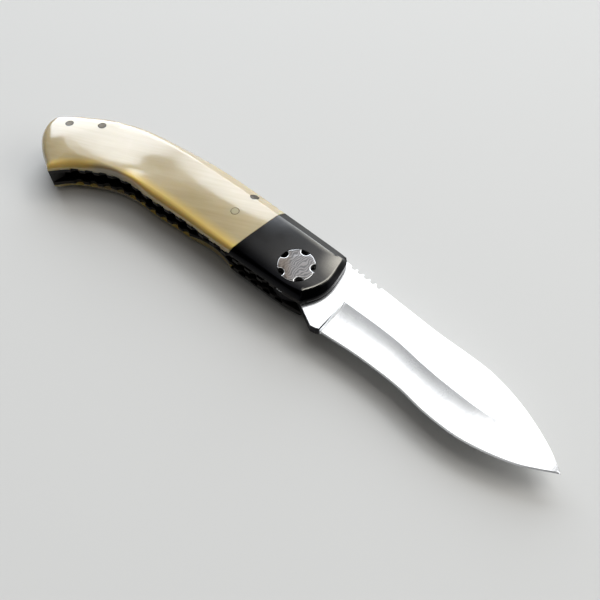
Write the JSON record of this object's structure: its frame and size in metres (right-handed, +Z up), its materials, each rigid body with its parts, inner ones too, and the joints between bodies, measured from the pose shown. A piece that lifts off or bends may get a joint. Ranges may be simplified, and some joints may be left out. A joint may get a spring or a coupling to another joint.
{
  "type": "folding pocket knife",
  "caption": "Liner-lock folding knife, open: wide hollow-ground drop-point blade, dark steel bolsters, ivory-like scales and a notched patterned pivot head.",
  "frame": {"origin": "on the pivot's axis, in the flat outer face of the far pivot head and bolster, on which the knife rests", "axes": "+X from the pivot along the open blade to its tip, +Y to the spine, +Z up through the thickness to the near side"},
  "size_m": [0.2024, 0.0389, 0.014],
  "materials": {
    "blade_steel": "hollow-ground stainless blade, satin with a bright flat",
    "liner_steel": "blacked spring steel",
    "bolster_steel": "dark blacked steel, fine satin",
    "scale_ivory": "polished ivory-like, cream with amber bands",
    "spacer_black": "black filler between the liners",
    "pin_steel": "plain steel",
    "pattern_steel": "etched folded-pattern steel",
    "bearing_bronze": "bronze",
    "browned_pin": "browned steel rod",
    "ivory_pin": "pale pin, nearly the scale's colour"
  },
  "bodies": {
    "handle": {"liner_right": "liner_steel", "liner_left": "liner_steel", "bolster_right": "bolster_steel", "bolster_left": "bolster_steel", "scale_right": "scale_ivory", "scale_left": "scale_ivory", "back_spacer": "spacer_black", "stop_pin": "pin_steel", "pivot_barrel": "pin_steel", "pivot_screw_right": "pattern_steel", "pivot_screw_left": "pattern_steel", "washer_right": "bearing_bronze", "washer_left": "bearing_bronze", "scale_pin_right": "ivory_pin", "scale_pin_left": "ivory_pin", "spine_pin_rear": "browned_pin", "spine_pin_second": "browned_pin", "spine_pin_front": "browned_pin", "bolster_screw_right_rear": "pin_steel", "bolster_screw_left_rear": "pin_steel", "bolster_screw_right_front": "pin_steel", "bolster_screw_left_front": "pin_steel"},
    "blade": {"blade": "blade_steel"},
    "lock_leaf": {"lock_leaf": "liner_steel", "detent_ball": "pin_steel"}
  },
  "joints": [
    {"name": "blade_pivot", "type": "hinge", "parent": "handle", "child": "blade", "pos_m": [0, 0, 0.007], "axis": [0, 0, 1], "range_deg": [-173, 0], "deforming": ["lock_leaf", "detent_ball"]},
    {"name": "lock_release", "type": "hinge", "parent": "handle", "child": "lock_leaf", "pos_m": [-0.05495, 0, 0.0099], "axis": [0, -1, 0], "range_deg": [0, 1.86]}
  ],
  "couplings": [
    {"joint": "lock_release", "follows": "blade_pivot", "ratio": -0.010707}
  ]
}
